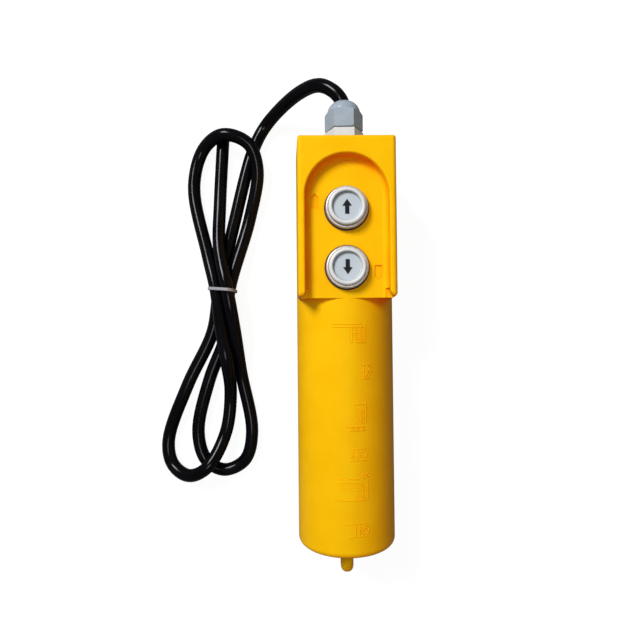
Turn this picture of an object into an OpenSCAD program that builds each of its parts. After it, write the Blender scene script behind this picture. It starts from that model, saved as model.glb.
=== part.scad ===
// Two-button pendant control station with a round capacitor handle and a tied cord.
// X is across the station, Y runs from the hanging lug to the cable gland, and Z is
// towards the buttons. The station lies on its flat back, on z = 0.

/* [Casing] */
// Diameter of the round handle
handle_d = 55; // [54:0.5:57]
// Length from the head's end face to the handle's end
body_len = 223; // [217:1:231]
// Length of the square head
head_len = 84.5; // [83:0.5:88]
// Width of the head's front face
face_w = 51; // [50:0.5:52]
// Height of the head's front face above the back
head_h = 61.5; // [61:0.5:63]
// Thickness of the shell walls
wall = 2.5; // [2.2:0.1:2.8]
// Thickness of the rubber seal between the two shells
seal_t = 0.8; // [0.6:0.1:1]

/* [Buttons] */
// Distance between the two buttons
button_pitch = 31.4; // [30:0.2:33]
// Distance from the head's end face to the upper button
button_drop = 37.1; // [36.5:0.1:38]
// Outside diameter of a button's bezel
bezel_d = 22.3; // [22:0.1:22.6]
// Diameter of a button's cap
cap_d = 19.8; // [19:0.1:19.8]
// Travel of a button
travel = 2.2; // [1.8:0.1:2.2]

/* [Cable] */
// Diameter of the cord
cord_d = 7.8; // [7:0.1:8]
// Width across the flats of the gland's nut
gland_af = 18.5; // [18:0.5:19]

/* [Hidden] */
$fn = 64;

// Places along the length: the bounding box is centred, from the lug's tip to the gland's mouth.
gland_out = 25.5;
lug_out = 17;
top_y = (body_len + gland_out + lug_out) / 2 - gland_out;
end_y = top_y - body_len;
mouth_y = top_y - head_len;
axis_z = handle_d / 2;
handle_r = handle_d / 2;
end_rise = 1.5;
end_wall = wall + 1;
part_z0 = axis_z - seal_t / 2;
part_z1 = axis_z + seal_t / 2;

// Pocket for the buttons, an arch that is open towards the handle.
floor_z = handle_d;
pocket_h = head_h - floor_z;
arch_r = 21.9;
arch_y = top_y - 31.5;
floor_r = arch_r - 0.8;
floor_fillet = 3;
rim_r = 1;
flare_len = 5;
flare_r = 6;
mark_depth = 0.8;
corner_r = 2.6;
top_corner_r = 2;

// Buttons.
up_y = top_y - button_drop;
down_y = up_y - button_pitch;
barrel_d = 16;
panel_hole_d = 16.2;
stem_d = 11.9;
stem_hole_d = 12;
gasket_t = 0.6;
collar_h = 3.8;
cap_base = 3.5;
cap_h = 6.2;
dish_z = 4.3;
crest_out = 1.3;
crest_in = 1;
dish_fillet = cap_h - dish_z - crest_in;
collar_edge = 0.7;
cap_gap = 0.2;
arrow_t = 0.3;
barrel_z = floor_z - 14;
stem_z = barrel_z + 3.2;
block_z0 = 24;
block_z1 = barrel_z + 2;
block_x = 20;
block_y = 20;
bridge_z = 33.4;
bridge_t = 0.8;
contact_h = 0.5;
contact_z = bridge_z - bridge_t - contact_h - travel - 0.1;
terminal_z = contact_z - 0.4 - 1.1;
terminal_x = 13;

// Screws that hold the shells together: [x, y].
screw_places = [
    [20.5, top_y - 8.5], [-20.5, top_y - 8.5], [20.5, mouth_y + 8], [-20.5, mouth_y + 8],
    [0, mouth_y - 17], [0, end_y + 14]
];
screw_d = 3.9;
screw_seat = 15;
screw_len = 24;
screw_head_d = 7.2;
boss_d = 8;
recess_d = 8;
rear_boss_d = 11.4;

// Hanging lug: a ring round X with a rounded edge, on an oval neck.
lug_r = 6;
lug_w = 7.1;
lug_hole_r = 2.5;
neck_w = 6.7;
neck_h = 10;

// Gland.
gland_z = 39.5;
thread_d = 15.2;
gland_hole_d = 15.6;

// Cord: a list of points down its middle, from the gland, through two tied loops, to its end.
cord_route = [
    [0, 128, 39.5], [0, 131, 39.5], [-1.5, 135.5, 39.3], [-6, 141, 38.4], [-14, 146, 34.5],
    [-27, 146, 23], [-46.5, 135.5, 5.2], [-55, 120, 4.2], [-67.5, 73, 4], [-77, 31, 4.9],
    [-81.5, 5, 4], [-96.5, -27, 5.1], [-109, -62, 4], [-106, -76, 5.9], [-95, -82, 10.8],
    [-83, -76.5, 13.5], [-73, -57, 6.3], [-70, -32, 5.5], [-70.5, -13, 15.6],
    [-74, 7, 14.9], [-77.3, 31, 13.3], [-83, 53, 9.1], [-92.5, 97, 4], [-86, 120, 5.7],
    [-72, 126, 14], [-57, 120.5, 13.4], [-52, 106, 8.8], [-57.5, 76, 5], [-69.9, 31, 8.9],
    [-72.5, 5, 4.3], [-83.5, -25, 4.7], [-90.5, -57, 4], [-85.5, -74.5, 3.9],
    [-74, -80.5, 4], [-61.5, -74.5, 4], [-57, -57, 4.2], [-63.5, -20, 5], [-66, 5, 12.9],
    [-69.8, 31, 17.4], [-75.5, 57, 11.2], [-76, 86, 5.4], [-74, 127, 4]
];
cord_start = 4.75;
cord_shift = top_y + gland_out - cord_start - cord_route[0][1];

// Tie round the four runs of the cord, which it holds in two leaning columns.
tie_y = 31 + cord_shift;
tie_t = 0.7;
tie_w = 1.8;
tie_gap = 0.5;
tie_turn = -6;
tie_runs = [[-77, 5.1], [-69.9, 8.9], [-69.8, 17.4], [-77.3, 13.4]];
tie_end = [-82.1, 2.3];
tie_end_size = [1.25, 8.5, 1.1];

yellow = [0.98, 0.74, 0.03];
grey = [0.66, 0.70, 0.73];
pale = [0.80, 0.83, 0.85];

// ---- Shapes ----

// A convex outline with round corners: r[i] is the radius at points[i], 0 for a sharp corner.
module rounded_outline(points, r) {
    n = len(points);
    function unit(v) = v / norm(v);
    function back(i) = unit(points[(i + n - 1) % n] - points[i]);
    function ahead(i) = unit(points[(i + 1) % n] - points[i]);
    function half(i) = acos(back(i) * ahead(i)) / 2;
    polygon([for (i = [0:n - 1]) for (side = r[i] > 0 ? [back(i), ahead(i)] : [[0, 0]])
        points[i] + side * r[i] / tan(half(i))]);
    for (i = [0:n - 1]) if (r[i] > 0)
        translate(points[i] + unit(back(i) + ahead(i)) * r[i] / sin(half(i))) circle(r[i]);
}

module round_rect(x0, y0, x1, y1, r) {
    rounded_outline([[x0, y0], [x1, y0], [x1, y1], [x0, y1]], r);
}

// An outline in X and Z, extruded along Y from y0 to y1.
module along_y(y0, y1) {
    translate([0, y1, 0]) rotate([90, 0, 0]) linear_extrude(y1 - y0) children();
}

// An outline in Y and Z, extruded along X, centred.
module along_x(w) {
    translate([-w / 2, 0, 0]) rotate([90, 0, 90]) linear_extrude(w) children();
}

// A cylinder along Y from y0 to y1, at height z.
module rod_y(r, y0, y1, z) {
    translate([0, y1, z]) rotate([90, 0, 0]) cylinder(r = r, h = y1 - y0);
}

// A profile of radius and height turned about Y, its height growing towards +Y.
module turned_y(z) {
    translate([0, 0, z]) rotate([-90, 0, 0]) rotate_extrude() children();
}

// A point on the smooth curve through four points, at part f of its middle stretch.
function knot(a, b) = pow(norm(b - a), 0.5);
function mix(a, b, ta, tb, t) = a * (tb - t) / (tb - ta) + b * (t - ta) / (tb - ta);
function curve_point(p, f) =
    let (
        t1 = knot(p[0], p[1]),
        t2 = t1 + knot(p[1], p[2]),
        t3 = t2 + knot(p[2], p[3]),
        t = t1 + (t2 - t1) * f,
        a1 = mix(p[0], p[1], 0, t1, t),
        a2 = mix(p[1], p[2], t1, t2, t),
        a3 = mix(p[2], p[3], t2, t3, t),
        b1 = mix(a1, a2, 0, t2, t),
        b2 = mix(a2, a3, t1, t3, t)
    )
    mix(b1, b2, t1, t2, t);

// A smooth curve through all the points, with so many steps to a stretch.
function curve(points, steps) =
    let (
        n = len(points),
        whole = concat([2 * points[0] - points[1]], points, [2 * points[n - 1] - points[n - 2]])
    )
    concat(
        [for (i = [0:n - 2]) for (k = [0:steps - 1])
            curve_point([for (j = [0:3]) whole[i + j]], k / steps)],
        [points[n - 1]]
    );

// A tube of radius r along the points, with flat ends.
module tube(points, r, sides) {
    n = len(points);
    function direction(i) =
        let (d = points[min(i + 1, n - 1)] - points[max(i - 1, 0)])
        d / norm(d);
    function carried(side, d) =
        let (s = side - d * (side * d))
        s / norm(s);
    frames = [for (i = 0, s = carried([0.31, 0.17, 1], direction(0)); i < n;
        i = i + 1, s = i < n ? carried(s, direction(i)) : s) s];
    rings = [for (i = [0:n - 1]) for (k = [0:sides - 1])
        points[i] + r * (frames[i] * cos(360 * k / sides)
            + cross(direction(i), frames[i]) * sin(360 * k / sides))];
    walls = [for (i = [0:n - 2]) for (k = [0:sides - 1])
        [i * sides + k, (i + 1) * sides + k, (i + 1) * sides + (k + 1) % sides,
            i * sides + (k + 1) % sides]];
    triangles = [for (w = walls) for (t = [[w[0], w[1], w[2]], [w[0], w[2], w[3]]]) t];
    start_cap = [for (k = [0:sides - 1]) k];
    end_cap = [for (k = [sides - 1:-1:0]) (n - 1) * sides + k];
    polyhedron(concat(rings), concat(triangles, [start_cap, end_cap]), convexity = 10);
}

// ---- Casing ----

// The head, inset by in on every side and rounded along every edge.
module head_form(in) {
    r_front = max(2 - in, 0.4);
    r_back = max(8 - in, 2);
    r_end = max(5 - in, 1.5);
    r_side = max(corner_r - in, 0.4);
    half = handle_r - in;
    half_face = face_w / 2 + 0.1 - in;
    intersection() {
        along_y(mouth_y + in, top_y - in) {
            rounded_outline([
                [-half, axis_z], [-half + 0.6, in], [half - 0.6, in],
                [half, axis_z], [half_face, head_h - in], [-half_face, head_h - in]
            ], [20, r_back, r_back, 20, r_front, r_front]);
        }
        along_x(2 * handle_d)
            round_rect(mouth_y + in, in, top_y - in, head_h - in,
                [r_end, r_end, r_front, 3]);
        linear_extrude(head_h)
            round_rect(-half, mouth_y + in, half, top_y - in, [r_side, r_side, r_side, r_side]);
    }
}

// The handle's cylinder from y0 on, with a round edge at its slightly coned end.
module handle_form(r, y0, rise, edge) {
    length = mouth_y + 6 - y0;
    turned_y(axis_z) intersection() {
        translate([0, y0])
            rounded_outline([[-r, rise], [0, 0], [r, rise], [r, length], [-r, length]],
                [edge, 0, edge, 0, 0]);
        translate([0, y0 - 1]) square([2 * r, length + 2]);
    }
}

// The cutter that rounds one upright corner of the head, which leans in with the head's side.
module corner_cut(r) {
    lean = atan((handle_r - face_w / 2 - 0.1) / (head_h - axis_z));
    translate([handle_r, 0, axis_z]) rotate([0, -lean, 0]) linear_extrude(head_h)
        difference() {
            translate([-r, -r]) square(r + 1);
            translate([-r, -r]) circle(r);
        }
}

module outside() {
    difference() {
        head_form(0);
        for (side = [0, 1]) mirror([side, 0, 0]) {
            translate([0, top_y, 0]) corner_cut(top_corner_r);
            translate([0, mouth_y, 0]) mirror([0, 1, 0]) corner_cut(corner_r);
        }
    }
    handle_form(handle_r, end_y, end_rise, 3.4);
}

// The pocket's cutter, or with grow its jacket, which the cavity keeps clear of.
module pocket_profile(grow) {
    r0 = floor_r + grow;
    r1 = arch_r + grow;
    h = pocket_h + grow;
    rounded_outline([[-r0, 0], [r0, 0], [r1, h], [-r1, h]],
        [floor_fillet, floor_fillet, 0, 0]);
    translate([-r1 - 1, h]) square([2 * r1 + 2, 3]);
}

module rim_round() {
    r = rim_r;
    translate([arch_r - 0.1, pocket_h - r]) difference() {
        square([r + 0.1, r + 1]);
        translate([r + 0.1, 0]) circle(r);
    }
}

module pocket_cut() {
    translate([0, arch_y, floor_z]) rotate_extrude() intersection() {
        union() {
            pocket_profile(0);
            rim_round();
        }
        square([arch_r + 3, 20]);
    }
    translate([0, 0, floor_z]) along_y(mouth_y - 4, arch_y) {
        pocket_profile(0);
        rim_round();
        mirror([1, 0]) rim_round();
    }
    for (side = [0, 1]) mirror([side, 0, 0]) flare_cut();
    for (place = [[-16.9, up_y + 4, 0], [16.5, down_y - 2.8, 180]])
        translate([place[0], place[1], floor_z - mark_depth]) rotate(place[2])
            linear_extrude(mark_depth + 0.5) polygon([[-2, -4], [2, -4], [2, 2.1], [0, 4], [-2, 2.1]]);
}

// The curved relief at the foot of each of the pocket's side walls.
module flare_cut() {
    reach = flare_r - sqrt(pow(flare_r, 2) - pow(flare_len, 2));
    translate([floor_r, mouth_y, floor_z + 0.02]) linear_extrude(pocket_h + 1) difference() {
        translate([-1, -1]) square([reach + 2, flare_len + 1]);
        translate([flare_r + 0.8, flare_len]) circle(flare_r);
    }
}

module pocket_jacket() {
    translate([0, arch_y, floor_z - wall])
        cylinder(r = arch_r + wall, h = pocket_h + wall + 1);
    translate([-arch_r - wall, mouth_y - 4, floor_z - wall])
        cube([2 * (arch_r + wall), arch_y - mouth_y + 4, pocket_h + wall + 1]);
}

module cavity() {
    difference() {
        head_form(wall);
        pocket_jacket();
    }
    handle_form(handle_r - wall, end_y + end_wall, 0, 1);
}

module slab(z0, z1) {
    translate([-60, end_y - 10, z0]) cube([120, body_len + 20, z1 - z0]);
}

// The oval neck of the hanging lug, or with gap the opening for it.
module lug_neck(y0, y1, gap) {
    along_y(y0, y1)
        round_rect(-neck_w / 2 - gap, axis_z - neck_h / 2 - gap, neck_w / 2 + gap,
            axis_z + neck_h / 2 + gap, [3, 3, 3, 3]);
}

module lug_slot() {
    lug_neck(end_y - 1, end_y + wall + 5, 0.1);
}

module front_shell() color(yellow) {
    difference() {
        union() {
            difference() {
                intersection() {
                    outside();
                    slab(part_z1, head_h + 1);
                }
                cavity();
            }
            intersection() {
                outside();
                for (p = screw_places)
                    translate([p[0], p[1], part_z1]) cylinder(d = boss_d, h = 40);
                slab(part_z1, floor_z - 0.6);
            }
        }
        pocket_cut();
        for (p = screw_places)
            translate([p[0], p[1], part_z1 - 1]) cylinder(d = screw_d + 0.1, h = 14);
        for (y = [up_y, down_y])
            translate([0, y, floor_z - 5]) cylinder(d = panel_hole_d, h = 8);
        rod_y(gland_hole_d / 2, top_y - wall - 1, top_y + 1, gland_z);
        lug_slot();
    }
}

module rear_shell() color(yellow) {
    difference() {
        union() {
            difference() {
                intersection() {
                    outside();
                    slab(-1, part_z0);
                }
                cavity();
            }
            intersection() {
                outside();
                for (p = screw_places)
                    translate([p[0], p[1], 0.5]) cylinder(d = rear_boss_d, h = part_z0 - 0.5);
            }
        }
        for (p = screw_places) translate([p[0], p[1], -1]) {
            cylinder(d = screw_d + 0.4, h = 40);
            cylinder(d = recess_d, h = screw_seat + 1);
        }
        lug_slot();
    }
}

module shell_seal() color([0.12, 0.12, 0.12]) {
    y0 = end_y + end_rise;
    translate([0, 0, part_z0]) linear_extrude(seal_t) difference() {
        round_rect(-handle_r + 0.3, y0 + 0.3, handle_r - 0.3, top_y - 0.3, [3, 3, 2.4, 2.4]);
        round_rect(-handle_r + 2, y0 + 1.5, handle_r - 2, top_y - 2, [2, 2, 1, 1]);
        translate([-neck_w / 2 - 0.2, y0 - 1]) square([neck_w + 0.4, 5]);
    }
}

module shell_screws() color([0.72, 0.73, 0.75]) {
    for (p = screw_places) translate([p[0], p[1], screw_seat]) {
        cylinder(d = screw_d, h = screw_len);
        difference() {
            translate([0, 0, -2.6]) cylinder(d = screw_head_d, h = 2.6);
            for (turn = [0, 90]) rotate(turn)
                translate([-2, -0.45, -3]) cube([4, 0.9, 1.9]);
        }
    }
}

// Eye that the station hangs from, held between the two shells by its flange.
module hanging_lug() color(yellow) {
    eye_y = end_y - lug_out + lug_r;
    flange_y = end_y + end_wall;
    difference() {
        union() {
            translate([0, eye_y, axis_z]) rotate([0, 90, 0]) rotate_extrude() intersection() {
                round_rect(-lug_r, -lug_w / 2, lug_r, lug_w / 2, [3.3, 3.3, 3.3, 3.3]);
                translate([1, -lug_w]) square([lug_r, 2 * lug_w]);
            }
            lug_neck(eye_y, flange_y + 1, 0);
            translate([-7, flange_y, axis_z - 8]) cube([14, 3, 16]);
        }
        translate([-8, eye_y, axis_z]) rotate([0, 90, 0]) cylinder(r = lug_hole_r, h = 16);
    }
}

// ---- Gland ----

module hexagon(af) {
    circle(d = af / cos(30), $fn = 6);
}

// A hexagonal bar along Y with a flat towards the front.
module hex_y(af, y0, y1, turn) {
    translate([0, y1, gland_z]) rotate([90, 0, 0]) rotate(turn)
        linear_extrude(y1 - y0) hexagon(af);
}

module gland_body() color(pale) {
    difference() {
        union() {
            rod_y(thread_d / 2, top_y - wall - 7, top_y + 2, gland_z);
            hex_y(gland_af + 0.4, top_y + 1, top_y + 8.8, 2);
            rod_y(6.8, top_y + 8, top_y + 20, gland_z);
        }
        rod_y(4.1, top_y - 20, top_y + 30, gland_z);
        rod_y(5.7, top_y + 11, top_y + 30, gland_z);
    }
}

module gland_nut() color(grey) {
    y0 = top_y + 9.6;
    y1 = top_y + gland_out;
    difference() {
        union() {
            intersection() {
                hex_y(gland_af, y0, y1, 3);
                turned_y(gland_z) polygon([
                    [0, y0], [gland_af / 2 + 0.9, y0], [gland_af / 2 + 1.5, y0 + 0.6],
                    [gland_af / 2 + 1.5, y0 + 9], [gland_af / 2 + 0.1, y0 + 10.4], [0, y0 + 10.4]
                ]);
            }
            turned_y(gland_z) intersection() {
                translate([0, y0 + 9.4]) square([gland_af / 2, gland_out - 19]);
                translate([2.6, y0 + 9.9]) circle(6.6);
            }
        }
        rod_y(6.85, y0 - 1, top_y + 20.1, gland_z);
        rod_y(4.4, y0, y1 + 1, gland_z);
        turned_y(gland_z) polygon([[0, y1 - 1.6], [4.4, y1 - 1.6], [5.4, y1 + 0.2], [0, y1 + 0.2]]);
    }
}

module gland_seal() color([0.1, 0.1, 0.11]) {
    difference() {
        rod_y(5.7, top_y + 11, top_y + 20, gland_z);
        rod_y(cord_d / 2, top_y, top_y + 30, gland_z);
    }
}

module gland_washer() color([0.15, 0.15, 0.15]) {
    difference() {
        rod_y(9.6, top_y, top_y + 1, gland_z);
        rod_y(thread_d / 2, top_y - 1, top_y + 2, gland_z);
    }
}

module gland_locknut() color(pale) {
    difference() {
        hex_y(18, top_y - wall - 4.5, top_y - wall, 0);
        rod_y(thread_d / 2, top_y - 20, top_y, gland_z);
    }
}

// The end of the cord's jacket, inside the gland and the head.
module cord_entry() color([0.07, 0.07, 0.07])
    rod_y(cord_d / 2, top_y - 14, top_y + gland_out - cord_start - 0.2, gland_z);

// ---- Wiring ----

module wire(points) {
    tube(curve(points, 3), 1.05, 8);
}

module line_wire() color([0.45, 0.25, 0.12])
    wire([[2, top_y - 14.6, gland_z + 1], [3, 88, 38], [10, 84, 31], [terminal_x, 79, terminal_z + 1],
        [terminal_x, 75, terminal_z], [terminal_x, up_y + 0.4, terminal_z]]);

module up_wire() color([0.08, 0.08, 0.08])
    wire([[-2, top_y - 14.6, gland_z + 1], [-3, 88, 38], [-10, 84, 31], [-terminal_x, 79, terminal_z + 1],
        [-terminal_x, 75, terminal_z], [-terminal_x, up_y + 0.4, terminal_z]]);

module down_wire() color([0.5, 0.5, 0.52])
    wire([[0, top_y - 14.8, gland_z - 2], [-4, 88, 33.6], [-16, 82, 24], [-19.5, 70, 22],
        [-18.5, 56, 24], [-terminal_x - 1, 48, terminal_z], [-terminal_x, 44, terminal_z],
        [-terminal_x, down_y + 0.4, terminal_z]]);

module jumper_wire() color([0.45, 0.25, 0.12])
    wire([[terminal_x, up_y - 0.4, terminal_z], [terminal_x, 64, terminal_z],
        [terminal_x + 2, 54.5, terminal_z - 2], [terminal_x, 45, terminal_z],
        [terminal_x, down_y + 0.4, terminal_z]]);

module capacitor() color([0.9, 0.9, 0.88])
    turned_y(axis_z) intersection() {
        translate([0, -94]) round_rect(-19, 0, 19, 70, [2, 2, 1.5, 1.5]);
        translate([0, -95]) square([20, 72]);
    }

module capacitor_leads() color([0.85, 0.85, 0.85]) {
    wire([[6, -23.8, axis_z], [6, -16, axis_z], [9, 2, 24], [4, 20, 18], [-4, 34, 17],
        [-5, 54, 17], [-terminal_x, 62, 24], [-terminal_x, 65, terminal_z],
        [-terminal_x, up_y - 0.4, terminal_z]]);
    wire([[-6, -23.8, axis_z], [-6, -16, axis_z], [-10, 4, 26], [-terminal_x, 24, 26],
        [-terminal_x, 32, terminal_z], [-terminal_x, down_y - 0.4, terminal_z]]);
}

module capacitor_foam() color([0.25, 0.25, 0.26])
    difference() {
        rod_y(handle_r - wall, -84, -34, axis_z);
        rod_y(19, -90, -30, axis_z);
    }

// ---- Buttons, each drawn at the origin and placed by at(y) ----

module at(y) {
    translate([0, y, 0]) children();
}

module ring(d, hole_d, z0, z1) {
    translate([0, 0, z0]) difference() {
        cylinder(d = d, h = z1 - z0);
        translate([0, 0, -1]) cylinder(d = hole_d, h = z1 - z0 + 2);
    }
}

module bezel() color(pale) {
    r = bezel_d / 2;
    z0 = floor_z + gasket_t;
    rotate_extrude() difference() {
        union() {
            translate([0, z0]) square([r, collar_h - gasket_t - collar_edge]);
            translate([0, z0]) square([r - collar_edge, collar_h - gasket_t]);
            translate([r - collar_edge, floor_z + collar_h - collar_edge]) circle(collar_edge);
            translate([0, barrel_z]) square([barrel_d / 2, 16]);
        }
        translate([barrel_d / 2, barrel_z - 1]) square([10, z0 - barrel_z + 1]);
        translate([0, barrel_z - 1]) square([stem_hole_d / 2, 30]);
        translate([0, floor_z + cap_base - travel - 0.1]) square([cap_d / 2 + cap_gap, 10]);
    }
}

module gasket() color([0.08, 0.08, 0.08])
    ring(23.8, barrel_d, floor_z, floor_z + gasket_t);

module ring_nut() color(pale) {
    difference() {
        translate([0, 0, floor_z - wall - 3.5]) linear_extrude(3.5) hexagon(21);
        translate([0, 0, floor_z - 10]) cylinder(d = barrel_d, h = 10);
    }
}

// Housing of the switch, clipped on the end of the bezel's barrel.
module contact_block() color([0.16, 0.16, 0.17]) {
    difference() {
        translate([-block_x / 2, -block_y / 2, block_z0]) cube([block_x, block_y, block_z1 - block_z0]);
        translate([0, 0, barrel_z]) cylinder(d = barrel_d, h = 5);
        translate([0, 0, 36]) cylinder(d = 5.3, h = 10);
        translate([-8.4, -3.4, contact_z - 0.4]) cube([16.8, 6.8, 38 - contact_z]);
        translate([0, 0, block_z0 + 1.6]) cylinder(d = 7.4, h = 8);
        for (side = [-1, 1])
            translate([side * 8 - 3, -2.5, contact_z - 1.1]) cube([6, 5, 0.7]);
    }
}

// The two fixed contacts, each in one piece with its clamp.
module terminals() color([0.80, 0.66, 0.30]) {
    for (side = [0, 1]) mirror([side, 0, 0]) {
        translate([5, -2.5, contact_z - 1.1]) cube([6, 5, 0.7]);
        translate([6.6, 0, contact_z - contact_h]) cylinder(r = 1.4, h = contact_h);
        difference() {
            translate([10.5, -3.5, terminal_z - 3.5]) cube([5, 7, 5.8]);
            translate([terminal_x, 0, terminal_z - 5]) cylinder(r = 1.5, h = 4);
            translate([terminal_x, 5, terminal_z]) rotate([90, 0, 0]) cylinder(r = 1.3, h = 10);
        }
    }
}

module terminal_screws() color([0.75, 0.76, 0.78]) {
    for (side = [-1, 1]) translate([side * terminal_x, 0, 0]) {
        translate([0, 0, terminal_z - 5]) cylinder(r = 1.5, h = 3.7);
        difference() {
            translate([0, 0, terminal_z - 6.6]) cylinder(r = 2.4, h = 1.7);
            translate([-3, -0.4, terminal_z - 7]) cube([6, 0.8, 1.2]);
        }
    }
}

module spring() color([0.75, 0.76, 0.78]) {
    z0 = block_z0 + 1.6;
    z1 = bridge_z - bridge_t;
    wire_r = 0.3;
    turns = 4.5;
    steps = 14 * turns;
    tube([for (i = [0:steps])
        [2.9 * cos(360 * turns * i / steps), 2.9 * sin(360 * turns * i / steps),
            z0 + wire_r + (z1 - z0 - 2 * wire_r) * i / steps]], wire_r, 6);
}

module cap() color(pale) {
    r = cap_d / 2;
    crest_r = r - crest_out;
    top = floor_z + cap_h;
    bottom = floor_z + cap_base;
    rotate_extrude() difference() {
        union() {
            translate([0, bottom]) square([r, cap_h - cap_base - crest_out]);
            translate([0, bottom]) square([crest_r, cap_h - cap_base]);
            translate([crest_r, top - crest_out]) circle(crest_out);
            translate([0, stem_z]) square([stem_d / 2, bottom - stem_z + 0.5]);
        }
        translate([0, floor_z + dish_z]) square([crest_r - crest_in - dish_fillet, 5]);
        translate([0, top - crest_in]) square([crest_r - crest_in, 5]);
        translate([crest_r - crest_in - dish_fillet, top - crest_in]) circle(dish_fillet);
        translate([crest_r - crest_in - 0.2, top - crest_in]) difference() {
            square(crest_in + 0.2);
            translate([crest_in + 0.2, 0]) circle(crest_in);
        }
    }
}

// An arrow that points towards the gland, or towards the handle with way = -1.
module arrow(way) color([0.05, 0.05, 0.06])
    translate([0, 0, floor_z + dish_z]) linear_extrude(arrow_t) mirror([0, way < 0 ? 1 : 0])
        polygon([[-1.05, -3.85], [1.05, -3.85], [1.05, 0.35], [2.4, 0.35], [0, 3.85],
            [-2.4, 0.35], [-1.05, 0.35]]);

module plunger() color([0.85, 0.85, 0.83]) {
    translate([0, 0, bridge_z + 1]) cylinder(r = 2.5, h = stem_z - bridge_z - 1);
    translate([0, 0, bridge_z]) cylinder(r = 3.2, h = 1.4);
    translate([0, 0, bridge_z - bridge_t - 2.6]) cylinder(r = 1.7, h = bridge_t + 3);
}

module bridge() color([0.80, 0.52, 0.32]) {
    difference() {
        translate([-8, -3, bridge_z - bridge_t]) cube([16, 6, bridge_t]);
        translate([0, 0, bridge_z - 2]) cylinder(r = 1.7, h = 3);
    }
    for (side = [-1, 1])
        translate([side * 6.6, 0, bridge_z - bridge_t - contact_h]) cylinder(r = 1.4, h = contact_h);
}

// ---- Cord ----

function above_table(p) = [p[0], p[1] + cord_shift, max(p[2], cord_d / 2)];

module cord() color([0.05, 0.05, 0.05])
    tube([for (p = curve(cord_route, 2)) above_table(p)], cord_d / 2, 10);

// The taut outline round circles of radius r, their centres given anticlockwise.
module taut(centres, r) {
    n = len(centres);
    function out(i) =
        let (d = centres[(i + 1) % n] - centres[i])
        [d[1], -d[0]] / norm(d);
    polygon([for (i = [0:n - 1]) for (k = [0, 1]) centres[(i + k) % n] + out(i) * r]);
    for (c = centres) translate(c) circle(r);
}

// The thin strap round the four runs, and its twisted end low at the side.
module cord_tie() color([0.6, 0.6, 0.63]) {
    r = cord_d / 2 + tie_gap;
    middle = (tie_runs[0][0] + tie_runs[1][0]) / 2;
    translate([middle, tie_y, 0]) rotate([0, 0, tie_turn]) rotate([90, 0, 0])
        translate([-middle, 0, -tie_w / 2]) linear_extrude(tie_w) difference() {
            taut(tie_runs, r + tie_t);
            taut(tie_runs, r);
        }
    translate([tie_end[0], tie_y + 0.5, tie_end[1]]) cube(tie_end_size);
}

// The three cores that stick out of the cord's end.
module cord_cores() color([0.5, 0.3, 0.15]) {
    last = above_table(cord_route[len(cord_route) - 1]);
    for (side = [-1, 0, 1])
        tube([last + [side * 2.3, 0.6, -0.6], last + [side * 2.4, 3.2, -1],
            last + [side * 2.5, 6, -1.2]], 0.95, 8);
}

// ---- The assembly ----

front_shell();
rear_shell();
shell_seal();
shell_screws();
hanging_lug();
gland_body();
gland_nut();
gland_seal();
gland_washer();
gland_locknut();
cord_entry();
line_wire();
up_wire();
down_wire();
jumper_wire();
capacitor();
capacitor_leads();
capacitor_foam();
at(up_y) bezel();  // up_bezel
at(up_y) gasket();  // up_gasket
at(up_y) ring_nut();  // up_ring_nut
at(up_y) contact_block();  // up_contact_block
at(up_y) terminals();  // up_terminals
at(up_y) terminal_screws();  // up_terminal_screws
at(up_y) spring();  // up_spring
at(up_y) cap();  // up_cap
at(up_y) arrow(1);  // up_arrow
at(up_y) plunger();  // up_plunger
at(up_y) bridge();  // up_bridge
at(down_y) bezel();  // down_bezel
at(down_y) gasket();  // down_gasket
at(down_y) ring_nut();  // down_ring_nut
at(down_y) contact_block();  // down_contact_block
at(down_y) terminals();  // down_terminals
at(down_y) terminal_screws();  // down_terminal_screws
at(down_y) spring();  // down_spring
at(down_y) cap();  // down_cap
at(down_y) arrow(-1);  // down_arrow
at(down_y) plunger();  // down_plunger
at(down_y) bridge();  // down_bridge
cord();
cord_tie();
cord_cores();
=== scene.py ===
"""Looks of the two-button pendant control station: cord, tie, marks, materials, light and camera."""

import math

import bmesh
import bpy
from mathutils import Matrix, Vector


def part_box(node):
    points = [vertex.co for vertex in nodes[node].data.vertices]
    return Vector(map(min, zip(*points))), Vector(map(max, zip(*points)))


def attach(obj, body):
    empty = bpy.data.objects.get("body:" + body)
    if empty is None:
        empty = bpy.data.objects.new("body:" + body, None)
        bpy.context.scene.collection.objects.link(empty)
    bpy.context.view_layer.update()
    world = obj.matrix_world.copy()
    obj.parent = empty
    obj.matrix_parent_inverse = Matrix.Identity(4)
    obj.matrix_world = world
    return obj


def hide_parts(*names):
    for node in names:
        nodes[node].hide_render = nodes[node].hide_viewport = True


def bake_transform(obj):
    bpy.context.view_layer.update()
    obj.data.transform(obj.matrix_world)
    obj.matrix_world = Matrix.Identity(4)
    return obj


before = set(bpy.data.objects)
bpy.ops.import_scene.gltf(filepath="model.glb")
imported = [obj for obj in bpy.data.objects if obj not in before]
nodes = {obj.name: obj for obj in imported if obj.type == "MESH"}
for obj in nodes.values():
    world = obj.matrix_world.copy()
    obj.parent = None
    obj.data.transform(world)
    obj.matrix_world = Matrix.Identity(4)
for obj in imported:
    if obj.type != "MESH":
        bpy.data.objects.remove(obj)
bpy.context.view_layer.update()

MM = 0.001
scene = bpy.context.scene

# ---------------------------------------------------------------- camera

camera = bpy.data.objects.new("camera", bpy.data.cameras.new("camera"))
scene.collection.objects.link(camera)
camera.location = (-0.0179, 0.0063, 0.3143)
camera.rotation_euler = (0.0192, -0.0126, -0.0095)
camera.data.lens = 27.749
camera.data.sensor_width = 36
camera.data.clip_start = 0.01
scene.camera = camera

# ---------------------------------------------------------------- mesh helpers


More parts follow.
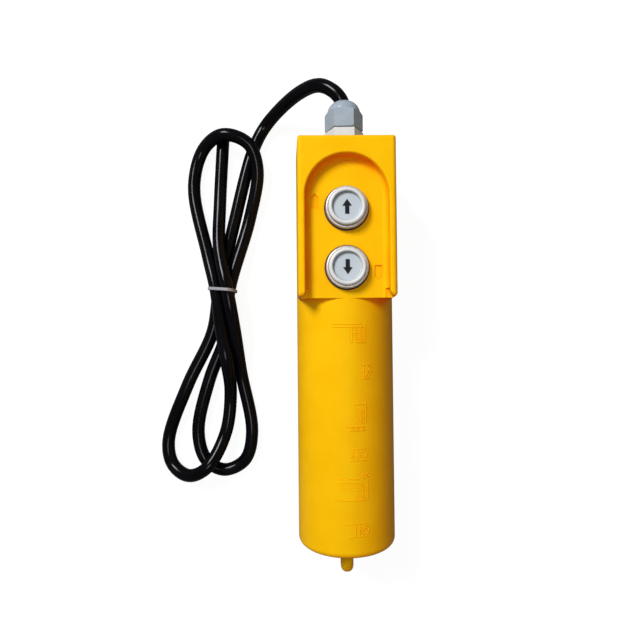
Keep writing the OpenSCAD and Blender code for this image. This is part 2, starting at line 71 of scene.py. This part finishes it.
def new_object(name, mesh, smooth=True):
    """The mesh as an object in the scene, shaded smooth except over sharp edges."""
    if smooth:
        mesh.polygons.foreach_set("use_smooth", [True] * len(mesh.polygons))
        mesh.set_sharp_from_angle(angle=math.radians(35))
    obj = bpy.data.objects.new(name, mesh)
    scene.collection.objects.link(obj)
    return obj


def sweep(sections, closed=False):
    """A closed mesh through equal rings of points, capped at both ends unless it closes on itself."""
    bm = bmesh.new()
    rings = [[bm.verts.new(p) for p in ring] for ring in sections]
    pairs = list(zip(rings, rings[1:]))
    if closed:
        pairs.append((rings[-1], rings[0]))
    for a, b in pairs:
        for i in range(len(a)):
            j = (i + 1) % len(a)
            bm.faces.new((a[i], a[j], b[j], b[i]))
    if not closed:
        bm.faces.new(list(reversed(rings[0])))
        bm.faces.new(rings[-1])
    bmesh.ops.recalc_face_normals(bm, faces=bm.faces)
    return bm


def to_mesh(name, *parts):
    """One mesh of several bmeshes, which it frees."""
    whole = bmesh.new()
    for part in parts:
        scratch = bpy.data.meshes.new("scratch")
        part.to_mesh(scratch)
        part.free()
        whole.from_mesh(scratch)
        bpy.data.meshes.remove(scratch)
    mesh = bpy.data.meshes.new(name)
    whole.to_mesh(mesh)
    whole.free()
    return mesh


# ---------------------------------------------------------------- cord

CORD_D = 7.8 * MM
CORD_STEPS = 8
CORD_ROUTE = [
    (0, 128, 39.5), (0, 131, 39.5), (-1.5, 135.5, 39.3), (-6, 141, 38.4), (-14, 146, 34.5),
    (-27, 146, 23), (-46.5, 135.5, 5.2), (-55, 120, 4.2), (-67.5, 73, 4), (-77, 31, 4.9),
    (-81.5, 5, 4), (-96.5, -27, 5.1), (-109, -62, 4), (-106, -76, 5.9), (-95, -82, 10.8),
    (-83, -76.5, 13.5), (-73, -57, 6.3), (-70, -32, 5.5), (-70.5, -13, 15.6), (-74, 7, 14.9),
    (-77.3, 31, 13.3), (-83, 53, 9.1), (-92.5, 97, 4), (-86, 120, 5.7), (-72, 126, 14),
    (-57, 120.5, 13.4), (-52, 106, 8.8), (-57.5, 76, 5), (-69.9, 31, 8.9), (-72.5, 5, 4.3),
    (-83.5, -25, 4.7), (-90.5, -57, 4), (-85.5, -74.5, 3.9), (-74, -80.5, 4),
    (-61.5, -74.5, 4), (-57, -57, 4.2), (-63.5, -20, 5), (-66, 5, 12.9), (-69.8, 31, 17.4),
    (-75.5, 57, 11.2), (-76, 86, 5.4), (-74, 127, 4),
]


def curve_point(p0, p1, p2, p3, f):
    """A point at part f of the middle stretch of the smooth curve through four points."""
    t1 = (p1 - p0).length ** 0.5
    t2 = t1 + (p2 - p1).length ** 0.5
    t3 = t2 + (p3 - p2).length ** 0.5
    t = t1 + (t2 - t1) * f

    def mix(a, b, ta, tb):
        return a * ((tb - t) / (tb - ta)) + b * ((t - ta) / (tb - ta))

    a1, a2, a3 = mix(p0, p1, 0, t1), mix(p1, p2, t1, t2), mix(p2, p3, t2, t3)
    return mix(mix(a1, a2, 0, t2), mix(a2, a3, t1, t3), t1, t2)


def smooth_route(route, steps):
    """The smooth curve through the route's points, in metres, never lower than a cord lies on the table."""
    pts = [Vector(p) for p in route]
    pts = [2 * pts[0] - pts[1]] + pts + [2 * pts[-1] - pts[-2]]
    out = []
    for i in range(len(pts) - 3):
        out += [curve_point(*pts[i:i + 4], k / steps) for k in range(steps)]
    out.append(pts[-2])
    for p in out:
        p.z = max(p.z, CORD_D / MM / 2)
    return [p * MM for p in out]


cord_line = smooth_route(CORD_ROUTE, CORD_STEPS)
cord_curve = bpy.data.curves.new("control_cord", "CURVE")
cord_curve.dimensions = "3D"
cord_curve.bevel_depth = 1
cord_curve.bevel_resolution = 7
cord_curve.use_fill_caps = True
spline = cord_curve.splines.new("POLY")
spline.points.add(len(cord_line) - 1)
for point, place in zip(spline.points, cord_line):
    point.co = (*place, 1)
    point.radius = CORD_D / 2
spline.use_smooth = True
cord = bpy.data.objects.new("control_cord", cord_curve)
scene.collection.objects.link(cord)
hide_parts("cord")
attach(cord, "housing")

# ---------------------------------------------------------------- tie round the cord

TIE_Y = 31 * MM
TIE_SLANT = -0.105
TIE_GAP = 0.3 * MM
TIE_T = 0.7 * MM
TIE_W = 1.8 * MM
TIE_END = (-81.2 * MM, 2.2 * MM)
TIE_END_LEN = 8.5 * MM
STRAND_R = 0.38 * MM
STRAND_LAY = 0.4 * MM
STRAND_TURNS = 2.5


def hull(points):
    """The convex outline of points in a plane."""
    pts = sorted(set((round(x, 7), round(z, 7)) for x, z in points))

    def half(seq):
        out = []
        for p in seq:
            while len(out) > 1 and (
                (out[-1][0] - out[-2][0]) * (p[1] - out[-2][1])
                - (out[-1][1] - out[-2][1]) * (p[0] - out[-2][0])
            ) <= 0:
                out.pop()
            out.append(p)
        return out

    return half(pts)[:-1] + half(reversed(pts))[:-1]


def outline_round(centres, radius):
    """The taut outline round circles of one radius, at even steps."""
    circle = [
        (x + radius * math.cos(a), z + radius * math.sin(a))
        for x, z in centres for a in [math.tau * k / 48 for k in range(48)]
    ]
    ring = hull(circle)
    lengths = [math.dist(ring[i], ring[(i + 1) % len(ring)]) for i in range(len(ring))]
    total, count, out = sum(lengths), 96, []
    i, gone = 0, 0.0
    for k in range(count):
        want = total * k / count
        while gone + lengths[i] < want:
            gone += lengths[i]
            i += 1
        f = (want - gone) / lengths[i]
        a, b = ring[i], ring[(i + 1) % len(ring)]
        out.append((a[0] + (b[0] - a[0]) * f, a[1] + (b[1] - a[1]) * f))
    return out


crossings = []
for a, b in zip(cord_line, cord_line[1:]):
    if (a.y - TIE_Y) * (b.y - TIE_Y) < 0:
        f = (TIE_Y - a.y) / (b.y - a.y)
        crossings.append((a.x + (b.x - a.x) * f, a.z + (b.z - a.z) * f))
tie_x = sum(x for x, z in crossings) / len(crossings)
strap_in = outline_round(crossings, CORD_D / 2 + TIE_GAP)
strap_out = outline_round(crossings, CORD_D / 2 + TIE_GAP + TIE_T)


def tie_place(x, z, across):
    """A point of the strap, across its width, with the strap's slant."""
    return Vector((x - across * TIE_SLANT, TIE_Y + across + (x - tie_x) * TIE_SLANT, z))


half_w = TIE_W / 2
bevel = 0.25 * MM
sections = []
for (xi, zi), (xo, zo) in zip(strap_in, strap_out):
    n = Vector((xo - xi, zo - zi)).normalized()
    inner = (xi, zi)
    outer = (xi + n.x * TIE_T, zi + n.y * TIE_T)
    lower = (outer[0] - n.x * bevel, outer[1] - n.y * bevel)
    sections.append([
        tie_place(*inner, -half_w), tie_place(*inner, half_w), tie_place(*lower, half_w),
        tie_place(*outer, half_w - bevel), tie_place(*outer, bevel - half_w),
        tie_place(*lower, -half_w),
    ])
strap = sweep(sections, closed=True)


def strand(turn):
    """One of the tie's two twisted ends, a thin round strand that winds along +Y."""
    rings = []
    for k in range(49):
        f = k / 48
        a = turn + f * math.tau * STRAND_TURNS
        x, z = TIE_END[0] + STRAND_LAY * math.cos(a), TIE_END[1] + STRAND_LAY * math.sin(a)
        rings.append([
            Vector((x + STRAND_R * math.cos(b), TIE_Y + f * TIE_END_LEN, z + STRAND_R * math.sin(b)))
            for b in [math.tau * q / 10 for q in range(10)]
        ])
    return sweep(rings)


tie = new_object("tie_strap", to_mesh("tie_strap", strap, strand(0), strand(math.pi)))
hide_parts("cord_tie")
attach(tie, "housing")

# ---------------------------------------------------------------- moulded marks on the handle

HANDLE_R = 27.5
MARK_W = 0.5
MARK_H = 0.2
FAINT_H = 0.09
MARK_ROOT = 0.12
MARK_STEP = 0.8
END_TAPER = 0.55
RING_STEPS = 28


def on_handle(u, y, lift):
    """A point over the handle, u round its circumference from the top line, lift above its surface."""
    a = u / HANDLE_R
    r = HANDLE_R + lift
    return Vector((r * math.sin(a), y, HANDLE_R + r * math.cos(a))) * MM


def mark_section(high, taper=1):
    """A mark's corners as (part of half its width, height): a foot under the surface, then a top."""
    top = 0.45 * taper
    return ((-1.1, -MARK_ROOT), (1.1, -MARK_ROOT), (top, high * taper), (-top, high * taper))


def ridge(u0, y0, u1, y1, high=MARK_H):
    """A low moulded ridge along a straight line on the unrolled handle."""
    count = max(2, math.ceil(math.hypot(u1 - u0, y1 - y0) / MARK_STEP))
    along = Vector((u1 - u0, y1 - y0)).normalized()
    side = Vector((-along.y, along.x))
    rings = []
    for k in range(count + 1):
        f = k / count
        taper = END_TAPER if k in (0, count) else 1
        u, y = u0 + (u1 - u0) * f, y0 + (y1 - y0) * f
        rings.append([
            on_handle(u + side.x * s * MARK_W / 2, y + side.y * s * MARK_W / 2, h)
            for s, h in mark_section(high, taper)
        ])
    return sweep(rings)


def ring_mark(u, y, r):
    """A low moulded ring on the unrolled handle."""
    rings = []
    for k in range(RING_STEPS):
        a = math.tau * k / RING_STEPS
        rings.append([
            on_handle(u + (r + s * MARK_W / 2) * math.cos(a), y + (r + s * MARK_W / 2) * math.sin(a), h)
            for s, h in mark_section(MARK_H)
        ])
    return sweep(rings, closed=True)


# The marks are plain lines and rings in six groups down the handle: lines as (u0, y0, u1, y1),
# rings as (u, y, radius).
MARK_LINES = [
    (2.2, -0.9, 2.2, 7.4), (4.4, -0.9, 4.4, 7.4), (6.6, -0.9, 6.6, 7.4), (7.9, -0.9, 7.9, 7.4),
    (9.3, -0.9, 9.3, 8.3), (9.1, 8.1, 10, 10.8), (-9, 9, 7.5, 9), (-8.5, 7.4, 9.3, 7.4),
    (2, 4.3, 9.3, 4.3), (4, 1.2, 9.3, 1.2), (4, -0.8, 9.3, -0.8),
    (7, -12.6, 12.8, -12.6), (8.4, -12.6, 8.4, -20), (7, -20, 13, -20), (6.8, -16.2, 8.4, -16.8),
    (10, -16.6, 12.6, -13.4),
    (2.2, -33.3, 9.6, -33.3), (9.3, -31.8, 9.3, -43.5), (7.9, -35, 7.9, -44), (6.6, -36, 6.6, -44),
    (-1.6, -45, 9, -45), (0, -47, 9.5, -47),
    (2.2, -57.2, 2.2, -62), (4.4, -56.8, 4.4, -62.5), (0, -62.6, 9.8, -62.6), (2, -56.6, 9.3, -56.6),
    (-6.6, -72.3, 5.5, -72.3), (-6.6, -74.2, 4, -74.2), (9.8, -72.6, 9.8, -83.5),
    (-9, -83.4, 9.8, -83.4), (7.4, -75, 7.4, -83.4), (4, -74.2, 7.4, -76.6),
    (-2.7, -95.7, 9.6, -95.7), (-1, -102.4, 9.3, -102.4), (3.2, -96.3, 3.2, -101.8),
    (5.2, -96.3, 5.2, -101.8),
]
MARK_RINGS = [
    (11.4, -15, 1.5), (10.4, -18.4, 1), (7.8, -46, 0.7), (4.8, -46, 0.7), (2, -46, 0.7),
    (7.8, -59.4, 1.8), (8, -71, 0.9), (10.3, -70.4, 0.8), (8.2, -99, 2.3), (8.2, -99, 1),
]
# Fainter crossed lines fill some groups, each patch as (u0, y0, u1, y1).
MARK_PATCHES = [
    (0.8, -0.4, 8.6, 6.9), (3.6, -43.2, 8.4, -35.4), (-4.6, -78.4, 8.8, -75.2),
    (3.4, -82.6, 8.8, -78.4), (0.6, -61.4, 5.4, -57.8),
]
PATCH_SPACING = 1.3


def steps_between(low, high):
    """Even steps of about PATCH_SPACING from low to high, ends included."""
    count = round((high - low) / PATCH_SPACING)
    return [low + (high - low) * k / count for k in range(count + 1)]


marks = [ridge(*line) for line in MARK_LINES] + [ring_mark(*ring) for ring in MARK_RINGS]
for u0, y0, u1, y1 in MARK_PATCHES:
    marks += [ridge(u, y0, u, y1, FAINT_H) for u in steps_between(u0, u1)]
    marks += [ridge(u0, y, u1, y, FAINT_H) for y in steps_between(y0, y1)]
moulded = new_object("moulded_marks", to_mesh("moulded_marks", *marks))
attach(moulded, "housing")

# ---------------------------------------------------------------- return springs

SPRING_WIRE = 0.3 * MM
SPRING_TURNS = 4.5
SPRING_STEPS = 24


def coil_spring(node, button):
    """A coil in the CAD spring's place, from its foot on the casing up to its head."""
    low, high = (Vector(corner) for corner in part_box(node))
    axis = (low + high) / 2
    radius = (high.x - low.x) / 2 - SPRING_WIRE
    foot, head = low.z + SPRING_WIRE, high.z - SPRING_WIRE
    count = int(SPRING_TURNS * SPRING_STEPS)
    rings = []
    for k in range(count + 1):
        a = math.tau * SPRING_TURNS * k / count
        out, up = Vector((math.cos(a), math.sin(a), 0)), Vector((0, 0, 1))
        place = Vector((axis.x, axis.y, foot + (head - foot) * k / count)) + out * radius
        rings.append([
            place + (out * math.cos(b) + up * math.sin(b)) * SPRING_WIRE
            for b in [math.tau * q / 10 for q in range(10)]
        ])
    obj = new_object(button + "_coil", to_mesh(button + "_coil", sweep(rings)))
    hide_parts(node)
    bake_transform(obj)
    return obj


coils = [coil_spring("up_spring", "up_button"), coil_spring("down_spring", "down_button")]

# ---------------------------------------------------------------- materials

# Painted shade: walls that face away from the key light are painted a deeper colour, all of them
# by SHADED_SIDE, and more where something else stands within the reach set below.
PAINTED_SHADE_REACH = 14 * MM
FROM_LIGHT = (0.5, -0.87, 0)
SHADED_SIDE = 0.26


def material(name, base, second, roughness, grain, bump, scale=0.012, rough_spread=0.06,
             painted_shade=None, crest=None, **fixed):
    """Moulded plastic, rubber or metal: two tones in a soft cloud, a fine grain, and an uneven gloss.
    scale is the cloud's size in metres, grain the surface grain's, and bump its height in metres.
    The painted shade argument is the colour that walls in a recess are painted towards, most where they
    turn from the light.
    crest is a height, a higher one, both in metres, and the colour the surface reaches between them."""
    m = bpy.data.materials.new(name)
    m.use_nodes = True
    tree = m.node_tree
    tree.nodes.clear()
    n, link = tree.nodes.new, tree.links.new
    out = n("ShaderNodeOutputMaterial")
    shader = n("ShaderNodeBsdfPrincipled")
    link(shader.outputs["BSDF"], out.inputs["Surface"])
    coords = n("ShaderNodeTexCoord")

    def noise(size, detail):
        node = n("ShaderNodeTexNoise")
        node.inputs["Scale"].default_value = 1 / size
        node.inputs["Detail"].default_value = detail
        link(coords.outputs["Object"], node.inputs["Vector"])
        return node

    cloud, fine = noise(scale, 3), noise(grain, 2)
    ramp = n("ShaderNodeValToRGB")
    ramp.color_ramp.elements[0].position = 0.36
    ramp.color_ramp.elements[1].position = 0.64
    ramp.color_ramp.elements[0].color = (*base, 1)
    ramp.color_ramp.elements[1].color = (*second, 1)
    link(cloud.outputs["Fac"], ramp.inputs["Fac"])
    gloss = n("ShaderNodeMapRange")
    gloss.inputs["To Min"].default_value = max(0.03, roughness - rough_spread)
    gloss.inputs["To Max"].default_value = roughness + rough_spread
    link(cloud.outputs["Fac"], gloss.inputs["Value"])
    link(gloss.outputs["Result"], shader.inputs["Roughness"])
    height = n("ShaderNodeBump")
    height.inputs["Strength"].default_value = 1
    height.inputs["Distance"].default_value = bump
    link(fine.outputs["Fac"], height.inputs["Height"])
    link(height.outputs["Normal"], shader.inputs["Normal"])
    colour = ramp.outputs["Color"]
    # The surface turns to a lighter, whiter tone towards the top, between the crest's two heights.
    if crest:
        low, high, tone = crest
        parts = n("ShaderNodeSeparateXYZ")
        rise = n("ShaderNodeMapRange")
        rise.inputs["From Min"].default_value = low
        rise.inputs["From Max"].default_value = high
        crest_tone = n("ShaderNodeMix")
        crest_tone.data_type = "RGBA"
        crest_tone.inputs["B"].default_value = (*tone, 1)
        link(coords.outputs["Object"], parts.inputs["Vector"])
        link(parts.outputs["Z"], rise.inputs["Value"])
        link(rise.outputs["Result"], crest_tone.inputs["Factor"])
        link(colour, crest_tone.inputs["A"])
        colour = crest_tone.outputs["Result"]
    # Painted shade: the colour turns towards the shade colour on walls that face away from the key light,
    # more in recesses where ambient occlusion is low.
    if painted_shade:
        deep = n("ShaderNodeAmbientOcclusion")
        deep.samples = 8
        deep.inputs["Distance"].default_value = PAINTED_SHADE_REACH

        def shade(open_at, closed_at, most):
            """How much of the painted shade's colour shows: none where the recess is open, and most where
            it is closed.
            """
            node = n("ShaderNodeMapRange")
            node.inputs["From Min"].default_value = closed_at
            node.inputs["From Max"].default_value = open_at
            node.inputs["To Min"].default_value = most
            node.inputs["To Max"].default_value = 0
            link(deep.outputs["AO"], node.inputs["Value"])
            return node.outputs["Result"]

        side = n("ShaderNodeMath")
        side.operation = "MAXIMUM"
        side.inputs[1].default_value = SHADED_SIDE
        facing = n("ShaderNodeVectorMath")
        facing.operation = "DOT_PRODUCT"
        facing.inputs[1].default_value = FROM_LIGHT
        steep = n("ShaderNodeMapRange")
        steep.inputs["From Min"].default_value = 0.01
        steep.inputs["From Max"].default_value = 0.36
        tint = n("ShaderNodeMix")
        tint.data_type = "RGBA"
        tint.inputs["B"].default_value = (*painted_shade, 1)
        link(coords.outputs["Normal"], facing.inputs[0])
        link(facing.outputs["Value"], steep.inputs["Value"])
        link(shade(0.78, 0.35, 0.55), steep.inputs["To Min"])
        link(shade(0.96, 0.7, 0.84), side.inputs[0])
        link(side.outputs["Value"], steep.inputs["To Max"])
        link(steep.outputs["Result"], tint.inputs["Factor"])
        link(colour, tint.inputs["A"])
        colour = tint.outputs["Result"]
    link(colour, shader.inputs["Base Color"])
    for key, value in fixed.items():
        shader.inputs[key.replace("_", " ")].default_value = value
    return m


# Painted shade: the yellow deepens to red-orange in recesses and on sides turned from the key light.
YELLOW = material("yellow_abs", (0.92, 0.485, 0.002), (0.95, 0.515, 0.003), 0.42, 0.0006, 0.000012,
                  painted_shade=(1.0, 0.12, 0.001), Specular_IOR_Level=0.15,
                  Specular_Tint=(1, 0.72, 0.12, 1))
BLACK_PVC = material("black_pvc", (0.0016, 0.0016, 0.0026), (0.003, 0.003, 0.0045), 0.15, 0.0045, 0.00001,
                     rough_spread=0.04, Specular_IOR_Level=0.13)
RUBBER = material("black_rubber", (0.008, 0.008, 0.008), (0.02, 0.02, 0.02), 0.7, 0.0004, 0.00002)
NUT_GREY = material("grey_polyamide", (0.29, 0.355, 0.42), (0.345, 0.405, 0.47), 0.27, 0.0005, 0.00001)
LIGHT_GREY = material("light_polyamide", (0.58, 0.61, 0.62), (0.66, 0.68, 0.69), 0.4, 0.0005, 0.00001)
# Painted shade: the cap's dish wall darkens to grey where it turns from the key light.
CAP_GREY = material("cap_plastic", (0.48, 0.54, 0.58), (0.53, 0.58, 0.62), 0.36, 0.0005, 0.000008,
                    crest=(0.0597, 0.0608, (0.70, 0.70, 0.69)), painted_shade=(0.20, 0.21, 0.22))
BEZEL_METAL = material("bezel_metal", (0.56, 0.53, 0.50), (0.64, 0.61, 0.58), 0.36, 0.0003, 0.000006,
                       Metallic=0.5)
INK = material("black_print", (0.004, 0.004, 0.008), (0.007, 0.007, 0.012), 0.6, 0.0003, 0.00001,
               Specular_IOR_Level=0.2)
ZINC = material("zinc_steel", (0.60, 0.61, 0.62), (0.72, 0.72, 0.70), 0.34, 0.0003, 0.000008,
                Metallic=1.0)
BRASS = material("contact_brass", (0.70, 0.50, 0.20), (0.80, 0.60, 0.27), 0.3, 0.0003, 0.000008,
                 Metallic=1.0)
BLOCK = material("black_block", (0.02, 0.02, 0.022), (0.03, 0.03, 0.032), 0.5, 0.0005, 0.00001)
WHITE = material("white_plastic", (0.78, 0.79, 0.78), (0.84, 0.85, 0.84), 0.4, 0.0005, 0.00001)
TIE_GREY = material("tie_nylon", (0.27, 0.27, 0.30), (0.34, 0.34, 0.37), 0.38, 0.0008, 0.00002)
FOAM = material("grey_foam", (0.05, 0.05, 0.055), (0.10, 0.10, 0.11), 0.95, 0.0008, 0.0003)
BROWN = material("brown_core", (0.16, 0.06, 0.02), (0.20, 0.08, 0.03), 0.4, 0.001, 0.00002)
GREY_CORE = material("grey_core", (0.22, 0.22, 0.23), (0.27, 0.27, 0.28), 0.4, 0.001, 0.00002)

FINISH = {
    "front_shell": YELLOW, "rear_shell": YELLOW, "hanging_lug": YELLOW, "shell_seal": RUBBER,
    "shell_screws": ZINC, "gland_body": LIGHT_GREY, "gland_nut": NUT_GREY, "gland_seal": RUBBER,
    "gland_washer": RUBBER, "gland_locknut": LIGHT_GREY, "cord_entry": BLACK_PVC, "line_wire": BROWN,
    "up_wire": BLOCK, "down_wire": GREY_CORE, "jumper_wire": BROWN, "capacitor": WHITE,
    "capacitor_leads": WHITE, "capacitor_foam": FOAM, "bezel": BEZEL_METAL, "gasket": RUBBER,
    "ring_nut": LIGHT_GREY, "contact_block": BLOCK, "terminals": BRASS, "terminal_screws": ZINC,
    "spring": ZINC, "cap": CAP_GREY, "arrow": INK, "plunger": WHITE, "bridge": BRASS,
    "cord": BLACK_PVC, "cord_tie": TIE_GREY, "cord_cores": BROWN,
}
for name, obj in nodes.items():
    obj.data.materials.clear()
    obj.data.materials.append(FINISH.get(name) or FINISH[name.split("_", 1)[1]])
for finish, pieces in ((BLACK_PVC, [cord]), (TIE_GREY, [tie]), (YELLOW, [moulded]), (ZINC, coils)):
    for obj in pieces:
        obj.data.materials.append(finish)

# ---------------------------------------------------------------- floor, light

floor_mesh = bpy.data.meshes.new("floor")
floor_mesh.from_pydata([(-6, -6, 0), (6, -6, 0), (6, 6, 0), (-6, 6, 0)], [], [(0, 1, 2, 3)])
floor = bpy.data.objects.new("floor", floor_mesh)
scene.collection.objects.link(floor)
pale = bpy.data.materials.new("pale_floor")
pale.use_nodes = True
tree = pale.node_tree
tree.nodes.clear()
seen = tree.nodes.new("ShaderNodeBsdfPrincipled")
seen.inputs["Base Color"].default_value = (0.12, 0.12, 0.12, 1)
seen.inputs["Roughness"].default_value = 0.9
seen.inputs["Emission Color"].default_value = (1, 1, 1, 1)
seen.inputs["Emission Strength"].default_value = 0.93
dim = tree.nodes.new("ShaderNodeBsdfDiffuse")
dim.inputs["Color"].default_value = (0.22, 0.22, 0.22, 1)
path = tree.nodes.new("ShaderNodeLightPath")
pick = tree.nodes.new("ShaderNodeMixShader")
surface = tree.nodes.new("ShaderNodeOutputMaterial")
tree.links.new(path.outputs["Is Camera Ray"], pick.inputs["Fac"])
tree.links.new(dim.outputs["BSDF"], pick.inputs[1])
tree.links.new(seen.outputs["BSDF"], pick.inputs[2])
tree.links.new(pick.outputs["Shader"], surface.inputs["Surface"])
floor_mesh.materials.append(pale)

world = bpy.data.worlds.new("studio")
scene.world = world
world.use_nodes = True
world.node_tree.nodes["Background"].inputs["Color"].default_value = (1, 1, 1, 1)
# The backdrop is seen white, and lights the station less than that.
sight = world.node_tree.nodes.new("ShaderNodeLightPath")
power = world.node_tree.nodes.new("ShaderNodeMapRange")
power.inputs["To Min"].default_value = 0.15
power.inputs["To Max"].default_value = 0.95
world.node_tree.links.new(sight.outputs["Is Camera Ray"], power.inputs["Value"])
world.node_tree.links.new(power.outputs["Result"], world.node_tree.nodes["Background"].inputs["Strength"])


def softbox(name, place, size, power):
    """A square area light that faces the station."""
    data = bpy.data.lights.new(name, "AREA")
    data.shape = "SQUARE"
    data.size = size
    data.energy = power
    light = bpy.data.objects.new(name, data)
    scene.collection.objects.link(light)
    light.location = place
    light.rotation_euler = (Vector((0, 0, 0.03)) - Vector(place)).to_track_quat("-Z", "Y").to_euler()
    return light


softbox("key", (-0.55, 0.62, 0.85), 0.35, 12.2)
softbox("fill", (0.0, -0.15, 1.4), 0.4, 4.0)

scene.view_settings.view_transform = "Standard"

bpy.context.view_layer.update()
